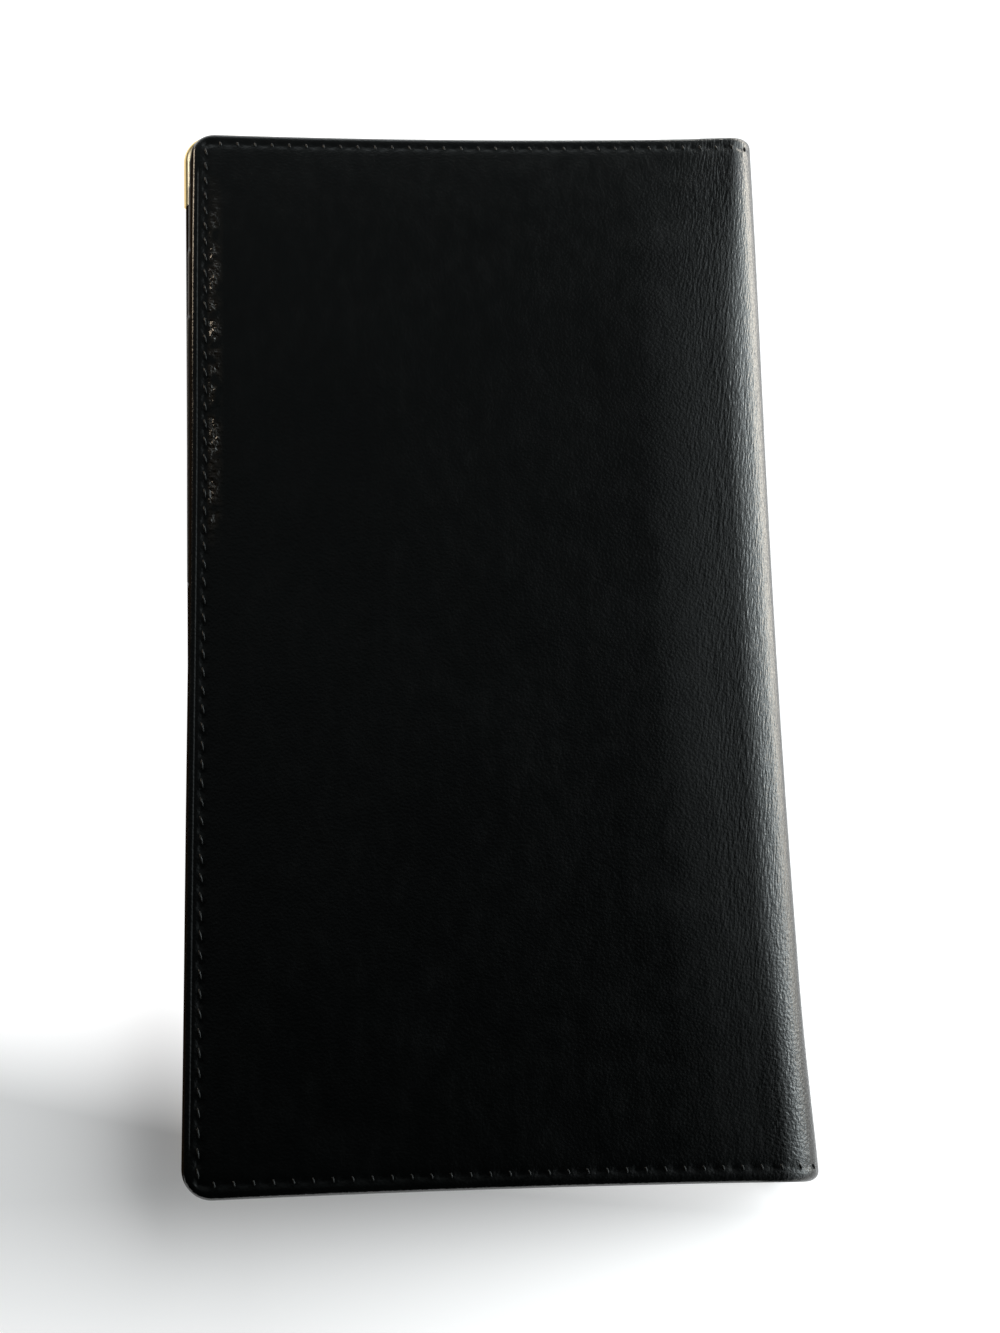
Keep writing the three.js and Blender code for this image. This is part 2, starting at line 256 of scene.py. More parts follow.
def on_cover(side, u, v, depth):
    """Points at u from the free edge and v from the tail, along the outer skin, and depth under it."""
    sizes = bpy.context.scene.organizer_sizes
    flat = flat_width(side)
    step = 0.05 * MM
    x, z, angle = section(side, u, v)
    ahead, behind = section(side, u + step, v), section(side, u - step, v)
    run_x, run_z = ahead[0] - behind[0], ahead[1] - behind[1]
    slope = np.maximum(np.hypot(run_x, run_z), 0.1 * step)
    x = x - depth * run_z / slope
    z = z + depth * run_x / slope
    along = np.clip(v / LENGTH, 0, 1)
    # The worn fold draws in at half its length, flares towards the tail and is rounded off at its very end
    flare = 0.35 * (1 - smooth(0, 0.16, along))
    worn_end = 1 - np.sqrt(1 - np.clip(1 - v / (1.9 * MM), 0, 1) ** 2)
    x = x - (sizes.waist * (arch(along ** 0.93) - flare) + 1.7 * MM * worn_end) * np.sin(angle) ** 2
    reach = 40 * MM
    x = x + sizes.edge_bow * arch(along) * (1 - smooth(0, reach, u))
    crosswise = arch(np.clip(u / (flat + HALF_FOLD), 0, 1))
    tail_bow = sizes.edge_bow * (1 - smooth(0, reach, v))
    head_bow = sizes.head_bow * smooth(LENGTH - reach, LENGTH, v)
    y = TAIL + v + crosswise * (tail_bow - head_bow)
    if side == "front":
        z = THICKNESS - closing(v) - z
    across, towards = skew(side, u, v)
    return np.stack([x + across, y + towards, z], 1)


def on_slots(side, x, y, height):
    """Points inside the leaf at a height over its outer face."""
    if side == "front":
        height = THICKNESS - closing(y - TAIL) - height
    across, towards = skew(side, x - EDGE[side], y - TAIL)
    return np.stack([x + across, y + towards, height], 1)


def seam_runs(side):
    """The three stitched runs of a leaf: which way they go, where they lie, and from where to where."""
    sizes = bpy.context.scene.organizer_sizes
    inset = sizes.stitch_inset
    start = inset if side == "front" else sizes.corner_leg + MM
    end = flat_width(side) + 0.8 * HALF_FOLD
    return {
        "head": ("u", LENGTH - sizes.end_inset, start + MM, end),
        "edge": ("v", inset, start, LENGTH - start),
        "tail": ("u", sizes.end_inset, start + MM, end),
    }


def run_count(start, end):
    return round((end - start) / bpy.context.scene.organizer_sizes.stitch_pitch)


def seam_relief(side, u, v):
    """How deep the seams pull the leather in: a soft valley, with a dimple at each needle hole."""
    sizes = bpy.context.scene.organizer_sizes
    total = np.zeros_like(u)
    for name, (way, line, start, end) in seam_runs(side).items():
        along, off = (u, v - line) if way == "u" else (v, u - line)
        inward = -off if name == "head" else off
        pitch = (end - start) / run_count(start, end)
        turn = 2 * math.pi * (along - start) / pitch
        here = between(along, start - 2 * MM, start, end, end + 2 * MM)
        hole = (0.5 + 0.5 * np.cos(turn)) ** 2
        valley = soft_line(inward, 0.95 * MM)
        dimple = hole * soft_line(inward, 0.5 * MM)
        total = total + here * (sizes.seam_depth * valley + sizes.needle_depth * dimple)
    return total


def cover_relief(side, u, v):
    """Everything that lifts or sinks the cover's outer skin."""
    sizes = bpy.context.scene.organizer_sizes
    flat = flat_width(side)
    inside = between(v, 0, 8 * MM, LENGTH - 8 * MM, LENGTH)
    face = inside * between(u, 0, 9 * MM, flat - 6 * MM, flat + 2 * MM)
    depth = seam_relief(side, u, v)
    lumps = 0.07 * MM * cloud(u, v, 17 * MM, 24 * MM, 1.7) + 0.02 * MM * cloud(u, v, 5 * MM, 6 * MM, 5.2)
    if side == "front":
        crown = arch(np.clip(u / flat, 0, 1)) ** 0.6 * arch(np.clip(v / LENGTH, 0, 1)) ** 0.4
        depth = depth - sizes.swell * crown * smooth(2.5 * MM, 10 * MM, u) + lumps * face
        slope = between(u, flat - 14 * MM, flat + 4 * MM, flat + 4 * MM, flat + HALF_FOLD)
        depth = depth + sizes.droop * arch(v / LENGTH) * slope * inside
    else:
        depth = depth + (0.09 * MM + lumps) * face
    beside = between(u, 2.9 * MM, 3.6 * MM, 4.3 * MM, 5.8 * MM)
    worn = between(v / LENGTH, 0.57, 0.62, 0.86, 0.95)
    worn = worn * np.clip(0.75 + cloud(u, v, 30 * MM, 9 * MM, 14.2), 0, 1)
    pucker = np.clip(cloud(u, v, 1.3 * MM, 2.1 * MM, 11.3), 0, 1)
    pucker = pucker + 0.5 * cloud(u, v, 0.7 * MM, 1.1 * MM, 12.9)
    depth = depth - sizes.pucker_depth * pucker * beside * worn
    ends = between(v, 6 * MM, 9 * MM, LENGTH - 9 * MM, LENGTH - 6 * MM)
    depth = depth + sizes.crease_depth * ends * soft_line(u - sizes.crease_inset, 0.17 * MM)
    near_fold = smooth(flat - 7 * MM, flat + 3 * MM, u)
    patches = np.clip(0.55 + 0.75 * cloud(u, v, 9 * MM, 30 * MM, 8.1), 0, 1)
    creases = cloud(u, v, 0.9 * MM, 9 * MM, 3.3) + 0.6 * cloud(u, v, 0.55 * MM, 4 * MM, 4.6)
    return depth + sizes.wrinkle_depth * creases * near_fold * patches * inside


def spaced(start, end, fine, coarse, border, both=True):
    """Grid lines from start to end, fine near the start and, where asked, near the end too."""
    lines = [start]
    while lines[-1] < end:
        gap = lines[-1] - start
        if both:
            gap = min(gap, end - lines[-1])
        lines.append(lines[-1] + fine + (coarse - fine) * min(max(gap / border, 0), 1))
    lines = np.array(lines)
    return start + (lines - start) * (end - start) / (lines[-1] - start)


def deselect():
    if bpy.context.mode != "OBJECT":
        bpy.ops.object.mode_set(mode="OBJECT")
    bpy.ops.object.select_all(action="DESELECT")


def pick(piece):
    """Makes a piece the only one selected."""
    deselect()
    piece.select_set(True)
    bpy.context.view_layer.objects.active = piece


def edit_all(piece, operator, **options):
    """Runs an edit mode operator on the whole of a piece."""
    pick(piece)
    bpy.ops.object.mode_set(mode="EDIT")
    bpy.ops.mesh.select_all(action="SELECT")
    operator(**options)
    bpy.ops.object.mode_set(mode="OBJECT")


def points_of(mesh):
    points = np.empty(len(mesh.vertices) * 3, np.float32)
    mesh.vertices.foreach_get("co", points)
    return points.reshape(-1, 3).astype(float)


def set_points(mesh, points):
    mesh.vertices.foreach_set("co", np.asarray(points, np.float32).ravel())
    mesh.update()


def grid_piece(name, columns, rows):
    """A new grid, with the column and row of each of its points."""
    deselect()
    bpy.ops.mesh.primitive_grid_add(x_subdivisions=columns - 1, y_subdivisions=rows - 1, size=1)
    piece = bpy.context.object
    piece.name = piece.data.name = name
    points = points_of(piece.data)
    column = np.rint((points[:, 0] + 0.5) * (columns - 1)).astype(int)
    row = np.rint((points[:, 1] + 0.5) * (rows - 1)).astype(int)
    return piece, column, row


def set_flat_map(mesh, flat_u, flat_v):
    """The piece's own map: its leather laid flat, in metres."""
    while mesh.uv_layers:
        mesh.uv_layers.remove(mesh.uv_layers[0])
    layer = mesh.uv_layers.new(name=FLAT_MAP)
    corner = np.empty(len(mesh.loops), np.int32)
    mesh.loops.foreach_get("vertex_index", corner)
    layer.uv.foreach_set("vector", np.stack([flat_u, flat_v], 1)[corner].astype(np.float32).ravel())


def keep(mesh, name, values):
    attribute = mesh.attributes.new(name, "FLOAT", "POINT")
    attribute.data.foreach_set("value", np.asarray(values, np.float32))


def take(mesh, name):
    values = np.empty(len(mesh.vertices), np.float32)
    mesh.attributes[name].data.foreach_get("value", values)
    mesh.attributes.remove(mesh.attributes[name])
    return values.astype(float)


def face_away(piece, inner, outer):
    """Turns the faces so that they look from the inner points to the outer ones."""
    mesh = piece.data
    middle = mesh.polygons[len(mesh.polygons) // 3]
    corner = middle.vertices[0]
    if middle.normal.dot(Vector(outer[corner] - inner[corner])) < 0:
        edit_all(piece, bpy.ops.mesh.flip_normals)


def leather_sheet(name, us, vs, radii, rings, place, open_end=False):
    """A sheet of leather with turned edges: a grid with rounded corners, its border extruded ring by ring.

    radii holds the corners' radii at the free edge and at the other, each at tail and head.
    rings holds, for each ring, how far it lies outside the grid's border and how deep under the face.
    place takes flat points, their depth and their ring, and gives points in the frame.
    """
    piece, column, row = grid_piece(name, len(us), len(vs))
    mesh = piece.data
    u, v = us[column], vs[row]
    last_column, last_row = len(us) - 1, len(vs) - 1
    out_u = np.where(column == 0, -1.0, 0.0)
    if not open_end:
        out_u = out_u + (column == last_column)
    out_v = np.where(row == 0, -1.0, 0.0) + (row == last_row)
    corners = [(us[0], -1, radii[0])] + ([] if open_end else [(us[-1], 1, radii[1])])
    for end_u, way_u, (tail_radius, head_radius) in corners:
        for end_v, way_v, radius in ((vs[0], -1, tail_radius), (vs[-1], 1, head_radius)):
            s = (way_u * (u - end_u) + radius) / radius
            t = (way_v * (v - end_v) + radius) / radius
            here = (s > 0) & (t > 0)
            round_s = s * np.sqrt(np.clip(1 - t * t / 2, 0, 1))
            round_t = t * np.sqrt(np.clip(1 - s * s / 2, 0, 1))
            u = np.where(here, end_u + way_u * radius * (round_s - 1), u)
            v = np.where(here, end_v + way_v * radius * (round_t - 1), v)
            border = here & ((out_u != 0) | (out_v != 0))
            out_u = np.where(border, way_u * round_s, out_u)
            out_v = np.where(border, way_v * round_t, out_v)
    for label, values in (("flat_u", u), ("flat_v", v), ("out_u", out_u), ("out_v", out_v)):
        keep(mesh, label, values)

    edges = np.empty(len(mesh.edges) * 2, np.int32)
    mesh.edges.foreach_get("vertices", edges)
    one, other = edges.reshape(-1, 2).T
    rim = (column[one] == 0) & (column[other] == 0)
    for line in (0, last_row):
        rim |= (row[one] == line) & (row[other] == line)
    if not open_end:
        rim |= (column[one] == last_column) & (column[other] == last_column)
    for group in (mesh.vertices, mesh.polygons):
        group.foreach_set("select", np.zeros(len(group), bool))
    mesh.edges.foreach_set("select", rim)
    rim_points = np.zeros(len(mesh.vertices), bool)
    rim_points[one[rim]] = rim_points[other[rim]] = True
    mesh.vertices.foreach_set("select", rim_points)
    core = len(mesh.vertices)
    bpy.ops.object.mode_set(mode="EDIT")
    bpy.ops.mesh.select_mode(type="EDGE")
    for _ in rings:
        bpy.ops.mesh.extrude_edges_move(TRANSFORM_OT_translate={"value": (0, 0, 0)})
    if not open_end:
        bpy.ops.mesh.edge_face_add()
    bpy.ops.mesh.select_mode(type="VERT")
    bpy.ops.object.mode_set(mode="OBJECT")

    u, v, out_u, out_v = (take(mesh, label) for label in ("flat_u", "flat_v", "out_u", "out_v"))
    index = np.arange(len(mesh.vertices))
    ring = np.where(index < core, 0, 1 + (index - core) // int(rim_points.sum()))
    steps = np.array([(0, 0)] + list(rings))
    run = np.concatenate([[0], np.cumsum(np.hypot(*np.diff(steps, axis=0).T))])
    outward = np.where(ring > 0, steps[ring, 0], 0)
    depth = steps[ring, 1]
    flat_u, flat_v = u + out_u * outward, v + out_v * outward
    points = place(flat_u, flat_v, depth, ring)
    set_points(mesh, points)
    set_flat_map(mesh, u + out_u * run[ring], v + out_v * run[ring])
    inner = place(flat_u, flat_v, depth + MM, ring)
    face_away(piece, inner, points)
    return piece


def square_radii(near, far):
    """Radii for a piece whose corners are alike at tail and head."""
    return (near, near), (far, far)


def rolled_rim(width, height, steps):
    """Rings round a turned edge, from the face over the edge to the underside."""
    turns = np.linspace(0, math.pi, steps + 1)[1:]
    return [(width * math.sin(t) ** 0.9, height / 2 * (1 - math.cos(t))) for t in turns]


def finish_piece(piece, material, degrees=None):
    """Shading and material."""
    pick(piece)
    if degrees is None:
        bpy.ops.object.shade_smooth()
    else:
        bpy.ops.object.shade_smooth_by_angle(angle=math.radians(degrees))
    piece.data.materials.clear()
    piece.data.materials.append(material)


def fix_to_leaf(piece, side, node):
    """A piece that moves with its leaf and stands for a CAD node."""
    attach(piece, LEAF_BODY[side])
    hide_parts(node)


def bend_with_fold(piece, side):
    """Bakes the piece's placement into its points; the piece is not bent with the fold."""
    if side == "back":
        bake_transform(piece)
    else:
        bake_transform(piece)


# Materials


def put(tree, socket, value):
    """Gives an input a value, or links it to another node's socket."""
    if isinstance(value, bpy.types.NodeSocket):
        tree.links.new(value, socket)
    else:
        socket.default_value = value


def set_inputs(tree, node, **values):
    """Fills a node's inputs, which are named with _ for each space."""
    for name, value in values.items():
        put(tree, node.inputs[name.replace("_", " ")], value)


def add_node(tree, kind, **settings):
    """A new node: settings in small letters are its own properties, the others its inputs."""
    node = tree.nodes.new(kind)
    for name, value in settings.items():
        if name.islower():
            setattr(node, name, value)
        else:
            set_inputs(tree, node, **{name: value})
    return node


def make_material(name, roughness, colour, dress):
    """A material, made once: one shader and what dress adds to it."""
    material = bpy.data.materials.get(name)
    if material is None:
        material = bpy.data.materials.new(name)
        material.use_nodes = True
        tree = material.node_tree
        shader = tree.nodes["Principled BSDF"]
        set_inputs(tree, shader, Roughness=roughness, Base_Color=colour)
        dress(tree, shader)
    return material


def flat_coordinates(tree, scale=(1, 1, 1)):
    """The leather's own flat map in metres, stretched by a scale."""
    flat = add_node(tree, "ShaderNodeUVMap", uv_map=FLAT_MAP)
    return add_node(tree, "ShaderNodeMapping", Vector=flat.outputs["UV"], Scale=scale).outputs["Vector"]


def ramp(tree, value, low, high, from_low, from_high, way="LINEAR"):
    """Goes from low to high while a value goes from from_low to from_high."""
    node = add_node(tree, "ShaderNodeMapRange", interpolation_type=way, Value=value,
                    From_Min=from_low, From_Max=from_high, To_Min=low, To_Max=high)
    return node.outputs["Result"]


def sums(tree, operation, one, other):
    """A math node of two values, each a number or another node's socket."""
    node = add_node(tree, "ShaderNodeMath", operation=operation)
    put(tree, node.inputs[0], one)
    put(tree, node.inputs[1], other)
    return node.outputs["Value"]


def plus(tree, one, other):
    return sums(tree, "ADD", one, other)


def times(tree, one, other):
    return sums(tree, "MULTIPLY", one, other)


def band(tree, value, rise_from, rise_to, fall_from, fall_to):
    """Rises from 0 to 1, and falls back to 0 farther on."""
    rise = ramp(tree, value, 0, 1, rise_from, rise_to)
    return times(tree, rise, ramp(tree, value, 1, 0, fall_from, fall_to))


def at_least(tree, value, least):
    return sums(tree, "MAXIMUM", value, least)


def at_most(tree, value, most):
    return sums(tree, "MINIMUM", value, most)


def noise_on(tree, vector, scale, detail, **settings):
    node = add_node(tree, "ShaderNodeTexNoise", Vector=vector, Scale=scale, Detail=detail, **settings)
    return node.outputs["Fac"]


def bump(tree, height, distance, **settings):
    """The normal of a surface that a height lifts by up to a distance."""
    return add_node(tree, "ShaderNodeBump", Height=height, Distance=distance, **settings).outputs["Normal"]


def blend_colours(tree, share, low, high):
    """A mix of two colours, each a value or another node's socket."""
    node = add_node(tree, "ShaderNodeMix", data_type="RGBA", Factor=share)
    put(tree, node.inputs[FIRST_COLOUR], low)
    put(tree, node.inputs[SECOND_COLOUR], high)
    return node.outputs[MIXED_COLOUR]


def shades(tree, share, colour, dark, light):
    """A colour that goes from a darker to a lighter shade of itself."""
    low, high = (tuple(channel * shade for channel in colour[:3]) + (1,) for shade in (dark, light))
    return blend_colours(tree, share, low, high)


def leather_material(name, colour, roughness, grain, wear=None):
    """Calf: pebbled grain, cloudy gloss and a faint change of colour, laid on the piece's flat map."""

    def dress(tree, shader):
        flat = flat_coordinates(tree)
        cells = add_node(tree, "ShaderNodeTexVoronoi", Vector=flat, feature="SMOOTH_F1",
                         Scale=1 / grain, Smoothness=0.7, Randomness=1.0)
        pores = noise_on(tree, flat, 3.2 / grain, 3.0, Roughness=0.6)
        patches = noise_on(tree, flat, 60.0, 5.0, Roughness=0.62)
        rubbed = noise_on(tree, flat_coordinates(tree, (1, 0.45, 1)), 420.0, 3.0, Roughness=0.6)
        gloss = plus(tree, ramp(tree, patches, -0.03, 0.03, 0.3, 0.7),
                     ramp(tree, rubbed, roughness - 0.05, roughness + 0.05, 0.3, 0.7))
        tone = shades(tree, patches, colour, 0.7, 1.3)
        normal = bump(tree, pores, 0.6 * GRAIN_DEPTH, Strength=0.35)
        normal = bump(tree, cells.outputs["Distance"], GRAIN_DEPTH, Strength=0.5, Normal=normal, invert=True)
        if wear:
            gloss, tone, normal = wear(tree, shader, gloss, tone, normal)
        set_inputs(tree, shader, Roughness=gloss, Base_Color=tone, Normal=normal)

    return make_material(name, roughness, colour, dress)


def wear_cover(tree, shader, gloss, tone, normal):
    """The cover's dyed edge, the rubbed strip beside its seam, and the wrinkles and pebbles at the fold."""
    flat = flat_coordinates(tree)
    place = add_node(tree, "ShaderNodeSeparateXYZ", Vector=flat)
    u, v = place.outputs["X"], place.outputs["Y"]
    inner = ramp(tree, u, 0, 1, 0.3 * MM, 0.5 * MM)
    pits = ramp(tree, noise_on(tree, flat, 2600.0, 2.0), 1, 0, 0.4, 0.6)
    dull = times(tree, ramp(tree, u, 0, 0.6, 95 * MM, 100 * MM), pits)
    shine = sums(tree, "SUBTRACT", 0.65, times(tree, dull, 0.5))
    set_inputs(tree, shader, Specular_IOR_Level=times(tree, inner, shine))
    gloss = plus(tree, gloss, ramp(tree, u, -0.045, 0.01, 70 * MM, 94 * MM))

    across = band(tree, u, 2.9 * MM, 3.4 * MM, 4.2 * MM, 5.8 * MM)
    along = band(tree, v, 0.57 * LENGTH, 0.62 * LENGTH, 0.86 * LENGTH, 0.96 * LENGTH)
    spots = ramp(tree, noise_on(tree, flat, 330.0, 2.0), 0, 1, 0.36, 0.54)
    rubbed = times(tree, times(tree, across, along), spots)
    tone = blend_colours(tree, inner, DYED_EDGE, blend_colours(tree, rubbed, tone, RUBBED_CALF))

    turned = add_node(tree, "ShaderNodeMapping", Vector=flat, Rotation=(0, 0, math.radians(10)))
    drawn = add_node(tree, "ShaderNodeMapping", Vector=turned.outputs["Vector"], Scale=(1, 0.2, 1))
    wrinkled = times(tree, ramp(tree, u, 0.02, 1, 82 * MM, 93 * MM), ramp(tree, v, 0.3, 1, 12 * MM, 48 * MM))
    pebbled = times(tree, ramp(tree, u, 0, 1, 90 * MM, 95 * MM), ramp(tree, v, 1, 0.2, 20 * MM, 50 * MM))
    for vector, scale, depth, share in (
            (flat, 1000.0, 0.85 * MM, rubbed),
            (drawn.outputs["Vector"], 2300.0, 0.13 * MM, wrinkled),
            (flat, 1800.0, 0.15 * MM, pebbled)):
        normal = bump(tree, noise_on(tree, vector, scale, 2.0), depth, Strength=share, Normal=normal)
    return gloss, tone, normal


def calf(context):
    finish = context.scene.organizer_finish
    return leather_material("cover_calf", finish.calf_colour, finish.calf_roughness, 0.42 * MM, wear_cover)


def slot_leather(context):
    return leather_material("slot_calf", context.scene.organizer_finish.slot_colour, 0.46, 0.5 * MM)


def lining_cloth(context):
    """Fine twill: slanted ribs with a little sheen."""
    colour = context.scene.organizer_finish.lining_colour

    def dress(tree, shader):
        flat = flat_coordinates(tree)
        ribs = add_node(tree, "ShaderNodeTexWave", Vector=flat, bands_direction="DIAGONAL",
                        Scale=420.0, Distortion=0.6, Detail=1.0).outputs["Fac"]
        fuzz = bump(tree, noise_on(tree, flat, 2500.0, 2.0), 0.03 * MM, Strength=0.4)
        set_inputs(tree, shader, Sheen_Weight=0.25, Base_Color=shades(tree, ribs, colour, 0.55, 1.6),
                   Normal=bump(tree, ribs, 0.08 * MM, Normal=fuzz))

    return make_material("lining_twill", 0.75, colour, dress)


def waxed_thread(context):
    """Twisted thread: slanted plies along each stitch."""
    colour = context.scene.organizer_finish.thread_colour

    def dress(tree, shader):
        plies = add_node(tree, "ShaderNodeTexWave", Vector=flat_coordinates(tree),
                         bands_direction="DIAGONAL", Scale=900.0, Distortion=0.4).outputs["Fac"]
        set_inputs(tree, shader, Specular_IOR_Level=0.3, Base_Color=shades(tree, plies, colour, 0.5, 1.8),
                   Normal=bump(tree, plies, 0.05 * MM, Strength=0.5))

    return make_material("waxed_thread", 0.38, colour, dress)


def gilt_metal(context):
    """Polished gilt with hairline rubbing, its colour darkened as painted shade for the dark surroundings it
    reflects.
    """
    colour = context.scene.organizer_finish.gilt_colour

    def dress(tree, shader):
        place = add_node(tree, "ShaderNodeTexCoord").outputs["Object"]
        drawn = add_node(tree, "ShaderNodeMapping", Vector=place, Scale=(4, 1, 4)).outputs["Vector"]
        hairlines = noise_on(tree, drawn, 900.0, 4.0)
        wear = noise_on(tree, place, 160.0, 4.0)
        set_inputs(tree, shader, Metallic=1, Specular_Tint=GILT_TINT,
                   Roughness=ramp(tree, hairlines, 0.1, 0.26, 0.3, 0.7),
                   Base_Color=shades(tree, wear, colour, 0.85, 1.08),
                   Normal=bump(tree, hairlines, 0.02 * MM, Strength=0.15))

    return make_material("gilt_metal", 0.16, colour, dress)


def bonded_board(context):
    """Bonded leather board: matted fibres."""
    colour = context.scene.organizer_finish.board_colour

    def dress(tree, shader):
        place = add_node(tree, "ShaderNodeTexCoord").outputs["Object"]
        fibres = noise_on(tree, place, 1500.0, 6.0, Roughness=0.7)
        set_inputs(tree, shader, Base_Color=shades(tree, fibres, colour, 0.6, 1.35),
                   Normal=bump(tree, fibres, 0.08 * MM, Strength=0.5))

    return make_material("bonded_board", 0.9, colour, dress)


# Pieces


def leaf_radii(side, inset):
    """Radii of a leaf's two free corners, tail and head, at an inset from its edge."""
    sizes = bpy.context.scene.organizer_sizes
    head = sizes.front_radius if side == "front" else sizes.corner_radius
    return sizes.corner_radius - inset, head - inset


def make_cover(context, side):
    """One leaf's cover leather, with its turned edges and its half of the fold."""
    sizes = context.scene.organizer_sizes
    flat = flat_width(side)
    rim = sizes.rim_width
    end = flat + HALF_FOLD
    coarse, border, at_fold = 0.56 * MM, 6 * MM, 0.4 * MM
    us = spaced(rim, end, 0.13 * MM, coarse, border, both=False)
    us = us[us <= flat - 8 * MM]
    fold_us = spaced(us[-1] + at_fold, end, at_fold, at_fold, MM)[:-1]
    us = np.concatenate([us, fold_us, [end - 0.1 * MM, end]])
    vs = spaced(rim, LENGTH - rim, 0.26 * MM, coarse, border)
    tuck = 2.5 * MM
    rings = rolled_rim(rim, LEAF_EDGE_HEIGHT, 12)
    rings += [(rim - tuck, LEAF_EDGE_HEIGHT), (rim - tuck, 1.6 * MM)]
    hem_rings = (len(rings) - 1, len(rings))

    def place(u, v, depth, ring):
        deep_hem = (sizes.hem_width - tuck) * smooth(flat - 20 * MM, flat - 8 * MM, u)
        toward = np.where(v < LENGTH / 2, 1, -1)
        v = v + np.where(np.isin(ring, hem_rings), deep_hem * toward, 0)
        thin = 1 - 0.28 * smooth(flat - 2 * MM, flat + 1 * MM, u)
        face = 1 - smooth(0, LEAF_EDGE_HEIGHT, depth)
        return on_cover(side, u, v, depth * thin + cover_relief(side, u, v) * face)

    name = f"{side}_cover_leather"
    piece = leather_sheet(name, us, vs, [leaf_radii(side, rim)], rings, place, open_end=True)
    finish_piece(piece, calf(context))
    bend_with_fold(piece, side)
    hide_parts(f"{side}_cover", *(["spine_cover"] if side == "front" else []))


def make_lining(context, side):
    """Lining cloth from under the slots into the fold, laid on the board and the cover's inside."""
    flat = flat_width(side)
    hem = context.scene.organizer_sizes.hem_width
    us = spaced(hem + 0.7 * MM, flat + HALF_FOLD, 1.2 * MM, 0.5 * MM, 60 * MM, both=False)
    vs = spaced(hem - 1.5 * MM, LENGTH - hem + 1.5 * MM, 2 * MM, 2 * MM, MM)
    piece, column, row = grid_piece(f"{side}_lining_cloth", len(us), len(vs))
    u, v = us[column], vs[row]
    on_board, in_fold = 1.78 * MM, 1.12 * MM
    depth = on_board + (in_fold - on_board) * smooth(flat - 1.8 * MM, flat - 0.4 * MM, u)
    depth = depth + 0.03 * MM * cloud(u, v, 3 * MM, 12 * MM, 2.2)
    points = on_cover(side, u, v, depth)
    set_points(piece.data, points)
    set_flat_map(piece.data, u, v)
    face_away(piece, points, on_cover(side, u, v, depth + MM))
    thick = piece.modifiers.new("Cloth", "SOLIDIFY")
    thick.thickness = 0.2 * MM
    thick.offset = 1
    bpy.ops.object.modifier_apply(modifier=thick.name)
    finish_piece(piece, lining_cloth(context), 40)
    bend_with_fold(piece, side)
    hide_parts(f"{side}_lining", *(["spine_lining"] if side == "front" else []))


def slab(name, node, side, radii, rim, relief=None, fine=0.25, coarse=3.0, spread=4.0):
    """A flat leather piece with rounded edges in the place of a CAD node, its face to the inside.

    fine and coarse are the grid's steps in millimetres, at the border and at spread from it.
    """
    low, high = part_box(node)
    us = spaced(rim, high.x - low.x - rim, fine * MM, coarse * MM, spread * MM)
    vs = spaced(rim, high.y - low.y - rim, fine * MM, coarse * MM, spread * MM)
    height = high.z - low.z

    def place(u, v, depth, ring):
        if relief is not None:
            depth = depth + relief(u, v) * (1 - smooth(0, height, depth))
        top = high.z if side == "back" else THICKNESS - low.z
        return on_slots(side, low.x + u, low.y + v, top - depth)

    return leather_sheet(name, us, vs, radii, rolled_rim(rim, height, 6), place)


def make_board(context, side):
    """The bonded board that stiffens a leaf, between cover and lining."""
    node = f"{side}_board"
    radii = square_radii(3.5 * MM, 0.3 * MM)
    piece = slab(f"{node}_sheet", node, side, radii, 0.05 * MM, fine=1, coarse=4, spread=8)
    finish_piece(piece, bonded_board(context), 40)
    fix_to_leaf(piece, side, node)


def finish_inner(context, piece, side, node, degrees=60):
    """Slot leather on a piece that stands for a CAD node of a leaf."""
    finish_piece(piece, slot_leather(context), degrees)
    fix_to_leaf(piece, side, node)


def make_panel(context, side):
    """The leather panel that carries the slots, with a tooled line round it."""
    node = f"{side}_inner_panel"
    low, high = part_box(node)
    width, length = high.x - low.x, high.y - low.y
    rim = 0.25 * MM

    def tooled(u, v):
        edge = np.minimum(np.minimum(u, width - u), np.minimum(v, length - v))
        return 0.09 * MM * soft_line(edge - 2.6 * MM, 0.22 * MM)

    radii = (leaf_radii(side, 0.8 * MM + rim), (0.5 * MM, 0.5 * MM))
    piece = slab(f"{node}_leather", node, side, radii, rim, tooled)
    finish_inner(context, piece, side, node, degrees=50)


def make_pocket(context, side, bank, slot):
    """One ply of a card slot: a folded mouth with a tooled line under it, slack in the middle."""
    node = f"{side}_{bank}_pocket_{slot}"
    low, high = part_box(node)
    width, length = high.x - low.x, high.y - low.y

    def mouth(u, v):
        under = length - v
        fold = -0.07 * MM * (1 - smooth(2.1 * MM, 2.9 * MM, under))
        line = 0.1 * MM * soft_line(under - 2.7 * MM, 0.25 * MM)
        slack = 0.1 * MM * arch(np.clip(u / width, 0, 1)) * (1 - smooth(0, 25 * MM, under))
        return fold + line - slack + 0.03 * MM * cloud(u, v, 14 * MM, 10 * MM, slot * 1.3)

    radii = square_radii(0.4 * MM, 0.4 * MM)
    piece = slab(f"{node}_ply", node, side, radii, 0.19 * MM, mouth, fine=0.24, coarse=2.5, spread=5)
    finish_inner(context, piece, side, node)


def stack_height(side, bank, y):
    """Height of the side welts' top, which steps down mouth by mouth towards the head."""
    height = np.full_like(y, STACK_TOP)
    for slot in SLOTS[:0:-1]:
        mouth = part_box(f"{side}_{bank}_pocket_{slot}")[1].y
        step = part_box(f"back_tail_pocket_{slot}")[1].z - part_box(f"back_tail_pocket_{slot - 1}")[1].z
        height = height - step * smooth(mouth - 0.7 * MM, mouth + 0.5 * MM, y)
    return height


